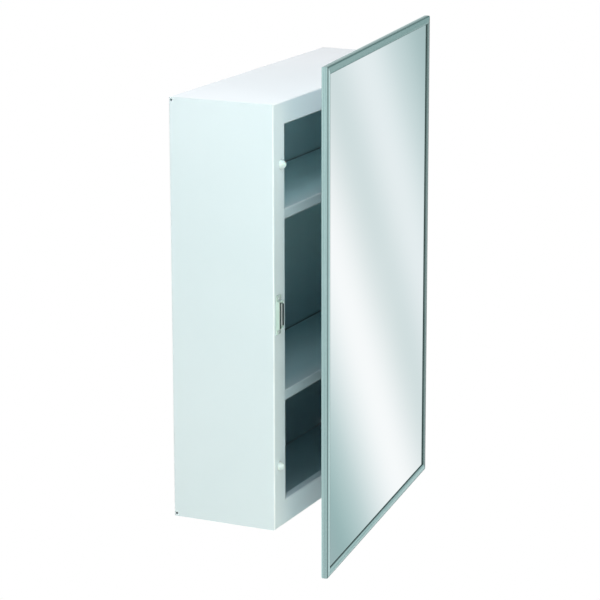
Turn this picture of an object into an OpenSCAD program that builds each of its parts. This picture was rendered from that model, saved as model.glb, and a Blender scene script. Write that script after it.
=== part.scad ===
// Wall medicine cabinet: a folded steel body with a stamped face frame, two lift-out shelves
// on slotted standards, and a mirror door in a channel frame on a continuous hinge.
// Millimetres. +X is to the right as seen from the front, +Y points into the wall, +Z is up.
// The origin is the centre of the flat back, on the surface of the wall.
// The door stands ajar by door_open. Its joint axis is the pin of the hinge.

/* [Body] */
// Width of the body
body_w = 390; // [320:1:500]
// Height of the body
body_h = 470; // [400:1:700]
// Depth of the body, from the wall to the front of the face frame
body_d = 124; // [100:1:170]
// Thickness of the body's sheet steel
sheet = 1; // [0.8:0.1:1.2]
// Outer radius of the folds in the body's sheet
fold_r = 1.8; // [1.5:0.1:3]
// Diameter of the relief hole at each rear corner
relief_d = 2.6; // [1.5:0.1:4]

/* [Face frame] */
// Width of the face below the opening and beside it
face_w = 28; // [26:0.5:45]
// Width of the face above the opening
face_top = 25; // [22:0.5:45]
// Depth of the lip that turns in round the opening
face_lip = 9; // [5:0.5:12]

/* [Wall screws] */
// Distance between the screw holes across the back
wall_pitch_x = 254; // [150:1:280]
// Distance between the screw holes up the back
wall_pitch_z = 330; // [260:1:370]
// Diameter of the screw holes
wall_hole_d = 6.5; // [4:0.1:9]

/* [Shelf standards] */
// Gap between the ends of a standard and the body's top and bottom
standard_end = 14; // [4:1:30]
// Width of a standard
standard_w = 16; // [14:0.5:20]
// How far a standard stands off the side wall
standard_out = 4; // [3.5:0.1:6]
// Thickness of a standard's sheet
standard_t = 1; // [0.8:0.1:1.2]
// Distance from slot to slot
slot_pitch = 12.7; // [10:0.1:25.4]
// Width of a slot
slot_w = 10; // [9.2:0.1:12]
// Height of a slot
slot_h = 3; // [2.4:0.1:4]
// Distance from the wall to the middle of the rear standards
standard_rear = 26; // [16:0.5:36]
// Distance from the face to the middle of the front standards
standard_front = 28; // [24:0.5:36]

/* [Shelf clips] */
// Width of a clip
clip_w = 9; // [6:0.1:9]
// Thickness of a clip's steel
clip_t = 1.2; // [0.8:0.1:1.6]
// Length of the ledge that carries the shelf
clip_ledge = 12; // [6:0.5:18]
// Height of the ledge's top above the middle of its slot
clip_rise = 5.05; // [3:0.05:8]
// How far the hook reaches down behind the slot
clip_hook = 2; // [1:0.1:5]
// How far the clip's plate hangs below the middle of its slot
clip_drop = 7; // [4:0.5:10]

/* [Shelves] */
// Height of the upper shelf above the middle of the body, to the nearest slot
upper_shelf_up = 114; // [60:1:150]
// Height of the lower shelf above the middle of the body, to the nearest slot
lower_shelf_up = -89; // [-150:1:-40]
// Thickness of the shelves' sheet steel
shelf_t = 0.9; // [0.7:0.1:1.2]
// Outer radius of the folds in a shelf
shelf_fold_r = 1.6; // [1.5:0.1:2.5]
// Height of the front flange
shelf_front_h = 12; // [8:0.5:20]
// Width of the hem under the front flange
shelf_hem = 5; // [3.5:0.5:10]
// Height of the rear flange
shelf_rear_h = 9; // [5:0.5:15]
// Gap between a shelf's end and the standards
shelf_end_gap = 1; // [0.4:0.1:3]
// Gap between a shelf's front and the lip of the face frame
shelf_front_gap = 1; // [0.4:0.1:3]
// Gap between a shelf's rear flange and the back
shelf_rear_gap = 1; // [0.5:0.1:6]
// Gap between a shelf and the ledges under it
shelf_rest_gap = 0.1; // [0.05:0.05:0.3]

/* [Hinge] */
// Gap between the ends of the hinge and the body's top and bottom
hinge_end = 15; // [5:1:40]
// Distance from the body's side to the middle of the hinge pin
hinge_out = 2.5; // [2.5:0.1:4]
// Number of knuckles, which is odd
knuckle_count = 21; // [11:2:31]
// Outer diameter of the knuckles
knuckle_d = 4.5; // [4.2:0.1:4.6]
// Diameter of the hinge pin
pin_d = 2.4; // [1.8:0.1:2.5]
// Radial clearance between the pin and the knuckles
pin_gap = 0.05; // [0.02:0.01:0.1]
// Gap between neighbouring knuckles
knuckle_gap = 0.6; // [0.4:0.1:1.5]
// Gap between a knuckle and the edge of the other leaf
notch_gap = 0.5; // [0.3:0.1:1]
// Thickness of the leaves
leaf_t = 1; // [0.8:0.1:1.1]
// Width of the leaves, from the pin to the edge
leaf_w = 24; // [18:0.5:26]

/* [Rivets] */
// Number of rivets in each leaf
rivet_count = 5; // [3:1:7]
// Distance from the ends of the hinge to the first rivets
rivet_end = 20; // [8:1:50]
// Diameter of a rivet's shank
rivet_d = 3.2; // [2.4:0.1:4]
// Diameter of a rivet's head
rivet_head_d = 6.4; // [5:0.1:8]
// Height of a rivet's head
rivet_head_h = 0.9; // [0.5:0.1:1.1]
// Clearance all round a rivet's or a screw's shank
shank_gap = 0.1; // [0.05:0.05:0.3]

/* [Door] */
// How far the door reaches past each side of the body
door_past_side = 8; // [5:0.5:9]
// How far the door reaches past the body's top and bottom
door_past_end = 44.5; // [10:0.5:80]
// Thickness of the door's frame
door_t = 8; // [7.5:0.1:12]
// Gap between the closed door and the face frame
door_gap = 5; // [5:0.1:6]
// Angle by which the door stands ajar
door_open = 7.5; // [0:0.5:90]

/* [Door frame] */
// Thickness of the frame's stainless sheet
frame_t = 1.2; // [0.8:0.1:1.4]
// Outer radius of the folds in the frame
frame_fold_r = 1.8; // [1.6:0.1:2.2]
// Width of the lip in front of the mirror
frame_lip = 9; // [6:0.5:16]
// Depth of that lip's inner edge, which is turned back to the glass
frame_turn = 2.4; // [2:0.1:3]
// Width of the lip behind the door
frame_back = 12; // [10:0.5:14]
// How far the lip behind the hinge side reaches past the edge of the leaf
frame_leaf_edge = 0.5; // [0:0.5:6]

/* [Door filling] */
// Thickness of the mirror glass
glass_t = 3; // [2:0.1:3.6]
// Thickness of the steel back of the door
pan_t = 0.6; // [0.5:0.1:1]
// Clearance round the glass, the board and the back inside the frame
filling_gap = 0.5; // [0.3:0.1:2]

/* [Strike plate] */
// Width of the strike plate
strike_w = 13.5; // [11:0.1:16]
// Height of the strike plate
strike_h = 48; // [46:0.5:60]
// Thickness of the strike plate
strike_t = 0.9; // [0.6:0.1:1.1]
// Distance from the ends of the strike plate to its rivets
strike_end = 4; // [3.5:0.1:4.5]
// Distance from the lip of the frame to the strike plate
strike_in = 0.3; // [0.1:0.1:1]

/* [Catch] */
// Gap between the catch and the lip of the closed door's frame
catch_gap = 0.6; // [0.4:0.1:3]
// Height of the catch's middle above the middle of the body
catch_up = 6; // [-60:0.5:60]
// Width of the catch
catch_w = 10.4; // [9:0.1:12]
// Height of the catch's body
catch_h = 30.4; // [26:0.2:32]
// Height of each fixing ear
catch_ear = 6; // [6:0.5:10]
// Thickness of the ears
catch_ear_t = 1.2; // [0.8:0.1:2]
// Side wall of the catch's body
catch_wall = 0.8; // [0.6:0.1:1.2]
// Thickness of a pole plate
pole_t = 1.2; // [0.8:0.1:1.6]
// How much shorter the inner pole plate is than the outer one
pole_step = 4.8; // [0:0.2:8]
// How far the pole plates stand out of the catch's body
pole_out = 0.8; // [0.2:0.1:1.2]
// How far the magnet lies behind the front of the pole plates
magnet_back = 1.2; // [0.4:0.1:1.5]
// Thickness of the case behind the pocket
catch_floor = 1; // [0.6:0.1:2]
// Diameter of the catch's screws
catch_screw_d = 2.9; // [2:0.1:3.5]
// Diameter of the screws' heads
catch_head_d = 5; // [4:0.1:6]
// Height of the screws' heads
catch_head_h = 1.6; // [1:0.1:2]
// Length of the screws' shanks
catch_screw_len = 8; // [5:0.5:12]

/* [Bumpers] */
// Distance from the body's left side to the upper bumper
upper_bumper_in = 18.5; // [12:0.5:20]
// Distance from the body's left side to the lower bumper
lower_bumper_in = 12.5; // [12:0.5:20]
// Distance from the body's top to the upper bumper
upper_bumper_down = 66.5; // [40:0.5:110]
// Distance from the body's bottom to the lower bumper
lower_bumper_up = 70.5; // [40:0.5:110]
// Diameter of a bumper's rim
bumper_rim_d = 10; // [9.5:0.1:11]
// Thickness of a bumper's rim
bumper_rim_t = 1; // [0.6:0.1:1.6]
// Diameter of a bumper's dome
bumper_dome_d = 9; // [7:0.1:9]
// Diameter of a bumper's stem
bumper_stem_d = 4; // [3:0.1:5]
// Length of a bumper's stem
bumper_stem = 4; // [3:0.5:6]
// Diameter of the barb at the stem's end
bumper_barb_d = 5.2; // [5.2:0.1:6]

/* [Clearances] */
// Gap between the closed door and what it shuts against
close_gap = 0.3; // [0.2:0.05:0.6]

/* [Hidden] */

arc_fn = 48;
cut = 1;                                    // how far a cutter runs past what it cuts

// Planes and faces of the body
left_x = -body_w / 2;
right_x = body_w / 2;
face_y = -body_d;
inner_w = body_w - 2 * sheet;
inner_h = body_h - 2 * sheet;
open_w = body_w - 2 * face_w;
open_h = body_h - face_w - face_top;
open_mid_z = (face_w - face_top) / 2;
inner_x = inner_w / 2;                      // inner face of the side walls
standard_x = inner_x - standard_out;        // face of the standards, with the slots
relief_in = fold_r + relief_d / 2;          // from the back, and from the top or bottom

// Slots and shelf heights
standard_len = body_h - 2 * (sheet + standard_end);
slot_count = floor((standard_len - 2 * slot_h - slot_pitch) / slot_pitch) + 1;
slot_first_z = -(slot_count - 1) * slot_pitch / 2;
front_standard_y = face_y + standard_front;
rear_standard_y = -standard_rear;
function slot_near(height) = round((height - clip_rise - shelf_t - slot_first_z) / slot_pitch);
function slot_z(index) = slot_first_z + index * slot_pitch;
function shelf_top_z(index) = slot_z(index) + clip_rise + shelf_rest_gap + shelf_t;
upper_slot = slot_near(upper_shelf_up);
lower_slot = slot_near(lower_shelf_up);
shelf_front_y = face_y + face_lip + shelf_front_gap;
shelf_rear_y = -sheet - shelf_rear_gap;
shelf_end_x = standard_x - shelf_end_gap;

// Door, as it lies when closed
door_w = body_w + 2 * door_past_side;
door_h = body_h + 2 * door_past_end;
door_back_y = face_y - door_gap;
door_front_y = door_back_y - door_t;
glass_front_y = door_front_y + frame_turn;
board_front_y = glass_front_y + glass_t;
pan_back_y = door_back_y - frame_t;
pan_front_y = pan_back_y - pan_t;
filling_w = door_w - 2 * (frame_t + filling_gap);
filling_h = door_h - 2 * (frame_t + filling_gap);
lip_edge_x = frame_back - door_w / 2;       // edge of the lip behind the free side

// Hinge: its pin lies midway between the face and the closed door, just outside the body's side
hinge_len = body_h - 2 * hinge_end;
hinge_x = right_x + hinge_out;
hinge_y = face_y - door_gap / 2;
knuckle_pitch = hinge_len / knuckle_count;
leaf_edge_x = hinge_x - leaf_w;
notch_x = hinge_x - knuckle_d / 2 - notch_gap;
rivet_x = (leaf_edge_x + notch_x) / 2;
rivet_pitch = (hinge_len - 2 * rivet_end) / (rivet_count - 1);
frame_hinge_back = door_w / 2 - leaf_edge_x + frame_leaf_edge;

// Catch, strike plate and bumpers
catch_x = lip_edge_x + catch_gap;
strike_x = lip_edge_x + strike_in;
strike_pitch = strike_h - 2 * strike_end;
strike_face_y = pan_back_y + strike_t;
catch_out = face_y - strike_face_y - close_gap;
catch_case_out = catch_out - pole_out;
pole_floor_y = face_y - catch_floor;
catch_screw_z = (catch_h + catch_ear) / 2;
pole_long_h = catch_h - 2 * catch_wall;
pole_short_h = pole_long_h - pole_step;
bumper_out = face_y - pan_back_y - close_gap;

body_paint = "whitesmoke";
steel = "silver";
stainless = [0.66, 0.76, 0.75];
mirror_tone = [0.85, 0.91, 0.93];
plastic_white = "white";

// A rectangle between two opposite corners
module span(x1, y1, x2, y2) {
    translate([x1, y1]) square([x2 - x1, y2 - y1]);
}

// A box between two opposite corners
module block(low, high) {
    translate(low) cube(high - low);
}

// Section of sheet folded through a quarter turn, with its centre at the origin
module fold(r, t) {
    intersection() {
        difference() {
            circle(r, $fn = arc_fn);
            circle(r - t, $fn = arc_fn);
        }
        square(r);
    }
}

// A straight length of a section along X, with 45 degree ends that meet its neighbours.
// The section's first axis runs inwards from the outline, down, and its second runs along +Y.
module mitred_rail(length, reach) {
    depth = body_d + door_gap + door_t + cut;
    intersection() {
        rotate([0, 90, 0]) linear_extrude(length, center = true) children();
        rotate([90, 0, 0]) linear_extrude(2 * depth, center = true)
            polygon([
                [-length / 2, 0], [length / 2, 0],
                [length / 2 - reach, -reach], [reach - length / 2, -reach]
            ]);
    }
}

module top_rail(w, h, reach) { translate([0, 0, h / 2]) mitred_rail(w, reach) children(); }
module bottom_rail(w, h, reach) { rotate([0, 180, 0]) top_rail(w, h, reach) children(); }
module right_rail(w, h, reach) { rotate([0, 90, 0]) top_rail(h, w, reach) children(); }
module left_rail(w, h, reach) { rotate([0, -90, 0]) top_rail(h, w, reach) children(); }

// A strip that starts at depth 0, where its two corners are rounded
module rounded_profile(w, r, depth) {
    difference() {
        span(-w / 2, 0, w / 2, depth);
        for (side = [0, 1]) mirror([side, 0]) translate([w / 2 - r, r]) difference() {
            span(0, -r - cut, r + cut, 0);
            circle(r, $fn = arc_fn);
        }
    }
}

// A strip between two depths whose sides flare out from root + r to root
module flared_profile(w, r, root, start, end) {
    span(-w / 2, start, w / 2, end);
    difference() {
        span(-w / 2 - r, start, w / 2 + r, root + r);
        for (side = [0, 1]) mirror([side, 0]) translate([w / 2 + r, root + r]) circle(r, $fn = arc_fn);
    }
}

// The solid with one profile seen from above and another seen from the side
module crossed() {
    intersection() {
        linear_extrude(body_w + body_h, center = true) children(0);
        rotate([0, 90, 0]) linear_extrude(body_w + body_h, center = true) children(1);
    }
}

// A block whose edges are rounded at depth 0
module rounded_block(w, h, r, depth) {
    crossed() {
        rounded_profile(w, r, depth);
        rounded_profile(h, r, depth);
    }
}

// A block whose sides flare out
module flared_block(w, h, r, root, start, end) {
    crossed() {
        flared_profile(w, r, root, start, end);
        flared_profile(h, r, root, start, end);
    }
}

// Turns the closed door about the hinge pin to where it stands
module door_place() {
    translate([hinge_x, hinge_y, 0]) rotate([0, 0, door_open]) translate([-hinge_x, -hinge_y, 0])
        children();
}

// A round bar along Y, between two depths
module rod_y(x, z, y1, y2, d) {
    translate([x, y2, z]) rotate([90, 0, 0]) cylinder(h = y2 - y1, d = d, $fn = arc_fn);
}

// Body shell: one sheet folded up into the back and four walls
module body_shell() {
    color(body_paint) difference() {
        rotate([0, 0, 180]) rounded_block(body_w, body_h, fold_r, body_d - fold_r);
        rotate([0, 0, 180]) translate([0, sheet, 0])
            rounded_block(inner_w, inner_h, fold_r - sheet, body_d);
        for (x = [-1, 1], z = [-1, 1])
            rod_y(x * wall_pitch_x / 2, z * wall_pitch_z / 2, -sheet - cut, cut, wall_hole_d);
        // Relief holes where the folds meet at the rear corners
        for (z = [-1, 1])
            translate([0, -relief_in, z * (body_h / 2 - relief_in)]) rotate([0, 90, 0])
                cylinder(h = body_w + cut, d = relief_d, center = true, $fn = arc_fn);
    }
}

// Face frame: a stamped ring whose opening has a lip turned in, welded to the shell's front edges
module face_ring() {
    difference() {
        union() {
            difference() {
                rounded_block(body_w, body_h, fold_r, fold_r);
                translate([0, sheet, 0]) rounded_block(inner_w, inner_h, fold_r - sheet, fold_r);
            }
            translate([0, 0, open_mid_z])
                flared_block(open_w + 2 * sheet, open_h + 2 * sheet, fold_r - sheet, sheet, 0, face_lip);
        }
        translate([0, 0, open_mid_z]) flared_block(open_w, open_h, fold_r, 0, -cut, face_lip + cut);
    }
}

module face_frame() {
    color(body_paint) difference() {
        translate([0, face_y, 0]) face_ring();
        for (z = rivet_heights())
            rod_y(rivet_x, z, face_y - cut, face_y + sheet + cut, rivet_d + 2 * shank_gap);
        for (z = catch_screw_heights())
            rod_y(catch_x + catch_w / 2, z, face_y - cut, face_y + sheet + cut,
                  catch_screw_d + 2 * shank_gap);
        for (spot = bumper_spots())
            rod_y(spot[0], spot[1], face_y - cut, face_y + sheet + cut, bumper_stem_d + 2 * shank_gap);
    }
}

function rivet_heights() = [for (i = [0 : rivet_count - 1]) (i - (rivet_count - 1) / 2) * rivet_pitch];
function catch_screw_heights() = [catch_up - catch_screw_z, catch_up + catch_screw_z];
function upper_bumper_spot() = [left_x + upper_bumper_in, body_h / 2 - upper_bumper_down];
function lower_bumper_spot() = [left_x + lower_bumper_in, lower_bumper_up - body_h / 2];
function bumper_spots() = [upper_bumper_spot(), lower_bumper_spot()];

// Shelf standards: slotted channels welded to the side walls, side is -1 on the left and 1 on the right
module standard(side, y) {
    web_x = standard_x + standard_t;
    color(body_paint) mirror([side < 0 ? 1 : 0, 0, 0]) difference() {
        block([standard_x, y - standard_w / 2, -standard_len / 2],
              [inner_x, y + standard_w / 2, standard_len / 2]);
        block([web_x, y - standard_w / 2 + standard_t, -standard_len / 2 - cut],
              [inner_x + cut, y + standard_w / 2 - standard_t, standard_len / 2 + cut]);
        for (i = [0 : slot_count - 1])
            block([standard_x - cut, y - slot_w / 2, slot_z(i) - slot_h / 2],
                  [web_x + cut, y + slot_w / 2, slot_z(i) + slot_h / 2]);
    }
}

module standard_front_left() { standard(-1, front_standard_y); }
module standard_front_right() { standard(1, front_standard_y); }
module standard_rear_left() { standard(-1, rear_standard_y); }
module standard_rear_right() { standard(1, rear_standard_y); }

// Shelf clip: a bent strip that hooks down behind the slot and holds out a ledge
module shelf_clip(side, y, index) {
    z = slot_z(index);
    tongue_z = z - slot_h / 2;
    hook_x = standard_x + standard_t;
    ledge_z = z + clip_rise;
    color(steel) mirror([side < 0 ? 1 : 0, 0, 0]) union() {
        block([standard_x - clip_ledge, y - clip_w / 2, ledge_z - clip_t],
              [standard_x, y + clip_w / 2, ledge_z]);
        block([standard_x - clip_t, y - clip_w / 2, z - clip_drop],
              [standard_x, y + clip_w / 2, ledge_z]);
        // Tongue through the slot, and the hook behind it
        block([standard_x - clip_t, y - clip_w / 2, tongue_z],
              [hook_x + shank_gap + clip_t, y + clip_w / 2, tongue_z + clip_t]);
        block([hook_x + shank_gap, y - clip_w / 2, tongue_z - clip_hook],
              [hook_x + shank_gap + clip_t, y + clip_w / 2, tongue_z + clip_t]);
    }
}

module shelf_clips(index) {
    for (side = [-1, 1], y = [front_standard_y, rear_standard_y]) shelf_clip(side, y, index);
}

module upper_shelf_clips() { shelf_clips(upper_slot); }
module lower_shelf_clips() { shelf_clips(lower_slot); }

// Shelf: one sheet with a hemmed front flange and a rear flange, section along +Y and Z
module shelf_section() {
    r = shelf_fold_r;
    t = shelf_t;
    depth = shelf_rear_y - shelf_front_y;
    span(r, -t, depth - r, 0);
    translate([r, -r]) rotate(90) fold(r, t);
    span(0, r - shelf_front_h, t, -r);
    translate([r, r - shelf_front_h]) rotate(180) fold(r, t);
    span(r, -shelf_front_h, shelf_hem, t - shelf_front_h);
    translate([depth - r, -r]) fold(r, t);
    span(depth - t, -shelf_rear_h, depth, -r);
}

module shelf(index) {
    color(body_paint) translate([0, shelf_front_y, shelf_top_z(index)])
        rotate([90, 0, 90]) linear_extrude(2 * shelf_end_x, center = true) shelf_section();
}

module upper_shelf() { shelf(upper_slot); }
module lower_shelf() { shelf(lower_slot); }

// Continuous hinge: each leaf is a strip whose tabs roll into every second knuckle
module knuckles(first) {
    for (i = [first : 2 : knuckle_count - 1])
        translate([hinge_x, hinge_y, (i + 0.5) * knuckle_pitch - hinge_len / 2])
            cylinder(h = knuckle_pitch - knuckle_gap, d = knuckle_d, center = true, $fn = arc_fn);
}

module leaf(first, y1, y2) {
    difference() {
        union() {
            block([leaf_edge_x, y1, -hinge_len / 2], [notch_x, y2, hinge_len / 2]);
            for (i = [first : 2 : knuckle_count - 1])
                translate([0, 0, (i + 0.5) * knuckle_pitch - hinge_len / 2])
                    block([notch_x, y1, (knuckle_gap - knuckle_pitch) / 2],
                          [hinge_x, y2, (knuckle_pitch - knuckle_gap) / 2]);
            knuckles(first);
        }
        translate([hinge_x, hinge_y, 0])
            cylinder(h = hinge_len + cut, d = pin_d + 2 * pin_gap, center = true, $fn = arc_fn);
        for (z = rivet_heights()) rod_y(rivet_x, z, y1 - cut, y2 + cut, rivet_d + 2 * shank_gap);
    }
}

module hinge_body_leaf() { color(steel) leaf(0, face_y - leaf_t, face_y); }
module hinge_door_leaf() { color(steel) door_place() leaf(1, door_back_y, door_back_y + leaf_t); }

module hinge_pin() {
    color(steel) translate([hinge_x, hinge_y, 0])
        cylinder(h = hinge_len, d = pin_d, center = true, $fn = arc_fn);
}

// Rivet through the body's leaf and the face frame, with its tail spread behind the sheet
module body_leaf_rivets() {
    color(steel) for (z = rivet_heights()) {
        rod_y(rivet_x, z, face_y - leaf_t - rivet_head_h, face_y - leaf_t, rivet_head_d);
        rod_y(rivet_x, z, face_y - leaf_t, face_y + sheet, rivet_d);
        rod_y(rivet_x, z, face_y + sheet, face_y + sheet + rivet_head_h, rivet_head_d);
    }
}

// Rivet through the door's leaf, the frame's lip and the steel back, flush inside
module door_leaf_rivets() {
    color(steel) door_place() for (z = rivet_heights()) {
        rod_y(rivet_x, z, door_back_y + leaf_t, door_back_y + leaf_t + rivet_head_h, rivet_head_d);
        rod_y(rivet_x, z, pan_front_y, door_back_y + leaf_t, rivet_d);
    }
}

// Magnetic catch: a moulded case with two ears and a pocket for the magnet and its pole plates
module catch_body() {
    low_z = catch_up - catch_h / 2;
    high_z = catch_up + catch_h / 2;
    color(plastic_white) difference() {
        union() {
            block([catch_x, face_y - catch_case_out, low_z], [catch_x + catch_w, face_y, high_z]);
            block([catch_x, face_y - catch_ear_t, low_z - catch_ear],
                  [catch_x + catch_w, face_y, high_z + catch_ear]);
        }
        block([catch_x + catch_wall, face_y - catch_case_out - cut, low_z + catch_wall],
              [catch_x + catch_w - catch_wall, pole_floor_y, high_z - catch_wall]);
        for (z = catch_screw_heights())
            rod_y(catch_x + catch_w / 2, z, face_y - catch_ear_t - cut, face_y + cut,
                  catch_screw_d + 2 * shank_gap);
    }
}

module catch_pole_plates() {
    outer_x = catch_x + catch_wall;
    inner_plate_x = catch_x + catch_w - catch_wall - pole_t;
    color("dimgray") {
        block([outer_x, face_y - catch_out, catch_up - pole_long_h / 2],
              [outer_x + pole_t, pole_floor_y, catch_up + pole_long_h / 2]);
        block([inner_plate_x, face_y - catch_out, catch_up - pole_short_h / 2],
              [inner_plate_x + pole_t, pole_floor_y, catch_up + pole_short_h / 2]);
    }
}

module catch_magnet() {
    magnet_in = catch_wall + pole_t;
    magnet_y = face_y - catch_out + magnet_back;
    color("lightgray")
        block([catch_x + magnet_in, magnet_y, catch_up - pole_short_h / 2],
              [catch_x + catch_w - magnet_in, pole_floor_y, catch_up + pole_short_h / 2]);
}

module catch_screws() {
    color(steel) for (z = catch_screw_heights()) {
        rod_y(catch_x + catch_w / 2, z, face_y - catch_ear_t - catch_head_h, face_y - catch_ear_t,
              catch_head_d);
        rod_y(catch_x + catch_w / 2, z, face_y - catch_ear_t,
              face_y - catch_ear_t + catch_screw_len, catch_screw_d);
    }
}

// Bumper: a dome with a rim, pushed through the face frame and held by a barb
module bumper(spot) {
    dome_r = bumper_dome_d / 2;
    barb_start = sheet + shank_gap;
    color(plastic_white) translate([spot[0], face_y, spot[1]]) rotate([90, 0, 0]) union() {
        cylinder(h = bumper_rim_t, d = bumper_rim_d, $fn = arc_fn);
        cylinder(h = bumper_out - dome_r, d = bumper_dome_d, $fn = arc_fn);
        translate([0, 0, bumper_out - dome_r]) rotate_extrude($fn = arc_fn)
            intersection() {
                circle(dome_r, $fn = arc_fn);
                square(dome_r);
            }
        translate([0, 0, -bumper_stem]) cylinder(h = bumper_stem, d = bumper_stem_d, $fn = arc_fn);
        translate([0, 0, -bumper_stem]) cylinder(h = bumper_stem - barb_start, d1 = bumper_stem_d,
                                                 d2 = bumper_barb_d, $fn = arc_fn);
    }
}

module upper_bumper() { bumper(upper_bumper_spot()); }
module lower_bumper() { bumper(lower_bumper_spot()); }

// Door frame: a stainless channel, its section from the outer edge inwards and from front to back.
// The edge of its front lip is turned back to rest on the glass.
module frame_section(back) {
    r = frame_fold_r;
    t = frame_t;
    span(frame_lip - t, r, frame_lip, frame_turn);
    translate([frame_lip - r, r]) rotate(270) fold(r, t);
    span(r, 0, frame_lip - r, t);
    translate([r, r]) rotate(180) fold(r, t);
    span(0, r, t, door_t - r);
    translate([r, door_t - r]) rotate(90) fold(r, t);
    span(r, door_t - t, back, door_t);
}

module frame_top() {
    color(stainless) door_place() translate([0, door_front_y, 0])
        top_rail(door_w, door_h, frame_hinge_back) frame_section(frame_back);
}

module frame_bottom() {
    color(stainless) door_place() translate([0, door_front_y, 0])
        bottom_rail(door_w, door_h, frame_hinge_back) frame_section(frame_back);
}

module frame_free_stile() {
    color(stainless) door_place() translate([0, door_front_y, 0])
        left_rail(door_w, door_h, frame_hinge_back) frame_section(frame_back);
}

// The hinge side's lip is wider between the top and bottom lips, to carry the leaf
module frame_hinge_stile() {
    color(stainless) door_place() difference() {
        union() {
            translate([0, door_front_y, 0])
                right_rail(door_w, door_h, frame_hinge_back) frame_section(frame_back);
            block([door_w / 2 - frame_hinge_back, pan_back_y, frame_back - door_h / 2],
                  [door_w / 2 - frame_fold_r, door_back_y, door_h / 2 - frame_back]);
        }
        for (z = rivet_heights())
            rod_y(rivet_x, z, pan_back_y - cut, door_back_y + cut, rivet_d + 2 * shank_gap);
    }
}

// A flat sheet that fills the frame, between two depths
module filling(y1, y2) {
    block([-filling_w / 2, y1, -filling_h / 2], [filling_w / 2, y2, filling_h / 2]);
}

module mirror_glass() { color(mirror_tone) door_place() filling(glass_front_y, board_front_y); }
module filler_board() { color("burlywood") door_place() filling(board_front_y, pan_front_y); }

module door_back_panel() {
    color(body_paint) door_place() difference() {
        filling(pan_front_y, pan_back_y);
        for (z = rivet_heights())
            rod_y(rivet_x, z, pan_front_y - cut, pan_back_y + cut, rivet_d + 2 * shank_gap);
        for (z = strike_rivet_heights())
            rod_y(strike_x + strike_w / 2, z, pan_front_y - cut, pan_back_y + cut, rivet_d + 2 * shank_gap);
    }
}

function strike_rivet_heights() = [catch_up - strike_pitch / 2, catch_up + strike_pitch / 2];

module strike_plate() {
    color(steel) door_place() difference() {
        block([strike_x, pan_back_y, catch_up - strike_h / 2],
              [strike_x + strike_w, strike_face_y, catch_up + strike_h / 2]);
        for (z = strike_rivet_heights())
            rod_y(strike_x + strike_w / 2, z, pan_back_y - cut, strike_face_y + cut,
                  rivet_d + 2 * shank_gap);
    }
}

module strike_rivets() {
    color(steel) door_place() for (z = strike_rivet_heights()) {
        rod_y(strike_x + strike_w / 2, z, strike_face_y, strike_face_y + rivet_head_h, rivet_head_d);
        rod_y(strike_x + strike_w / 2, z, pan_front_y, strike_face_y, rivet_d);
    }
}

body_shell();
face_frame();
standard_front_left();
standard_front_right();
standard_rear_left();
standard_rear_right();
upper_shelf_clips();
lower_shelf_clips();
upper_shelf();
lower_shelf();
hinge_body_leaf();
hinge_door_leaf();
hinge_pin();
body_leaf_rivets();
door_leaf_rivets();
catch_body();
catch_magnet();
catch_pole_plates();
catch_screws();
upper_bumper();
lower_bumper();
frame_top();
frame_bottom();
frame_free_stile();
frame_hinge_stile();
mirror_glass();
filler_board();
door_back_panel();
strike_plate();
strike_rivets();
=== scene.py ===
"""Looks of a wall medicine cabinet: white enamelled body, stainless framed mirror door, lift-out
shelves."""

import math

import bmesh
import bpy
from mathutils import Matrix, Vector


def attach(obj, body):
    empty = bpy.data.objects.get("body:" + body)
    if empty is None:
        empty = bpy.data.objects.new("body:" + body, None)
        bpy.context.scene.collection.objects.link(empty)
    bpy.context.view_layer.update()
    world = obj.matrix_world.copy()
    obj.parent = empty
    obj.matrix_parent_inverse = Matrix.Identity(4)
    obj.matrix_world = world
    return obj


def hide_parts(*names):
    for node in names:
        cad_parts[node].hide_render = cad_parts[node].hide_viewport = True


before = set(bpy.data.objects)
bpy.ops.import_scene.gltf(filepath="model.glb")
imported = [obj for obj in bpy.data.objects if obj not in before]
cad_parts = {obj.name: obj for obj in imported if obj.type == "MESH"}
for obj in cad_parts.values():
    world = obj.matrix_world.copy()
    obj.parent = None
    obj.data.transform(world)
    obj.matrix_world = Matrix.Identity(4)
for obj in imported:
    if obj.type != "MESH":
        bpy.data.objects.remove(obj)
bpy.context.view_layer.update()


# Camera
# It stands to the left of the cabinet, a little above it, and looks past the edge of the open door
# with a long lens, so the uprights stay nearly parallel.
camera_place = Vector((-2.5963, -1.2888, 0.6953))
camera_yaw = math.radians(64.72)
camera_pitch = math.radians(14.11)
camera_roll = math.radians(0.11)
sensor_width = 36
picture_pixels, lens_pixels = 600, 2581

look = Vector((
    math.sin(camera_yaw) * math.cos(camera_pitch),
    math.cos(camera_yaw) * math.cos(camera_pitch),
    -math.sin(camera_pitch),
))
level_right = Vector((math.cos(camera_yaw), -math.sin(camera_yaw), 0))
level_down = look.cross(level_right)
right = math.cos(camera_roll) * level_right + math.sin(camera_roll) * level_down
up = math.sin(camera_roll) * level_right - math.cos(camera_roll) * level_down

lens = bpy.data.cameras.new("camera")
lens.sensor_width = sensor_width
lens.lens = sensor_width * lens_pixels / picture_pixels
lens.clip_start, lens.clip_end = 0.05, 60
camera = bpy.data.objects.new("camera", lens)
camera.matrix_world = Matrix((
    (right.x, up.x, -look.x, camera_place.x),
    (right.y, up.y, -look.y, camera_place.y),
    (right.z, up.z, -look.z, camera_place.z),
    (0, 0, 0, 1),
))
bpy.context.scene.collection.objects.link(camera)
bpy.context.scene.camera = camera


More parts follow.
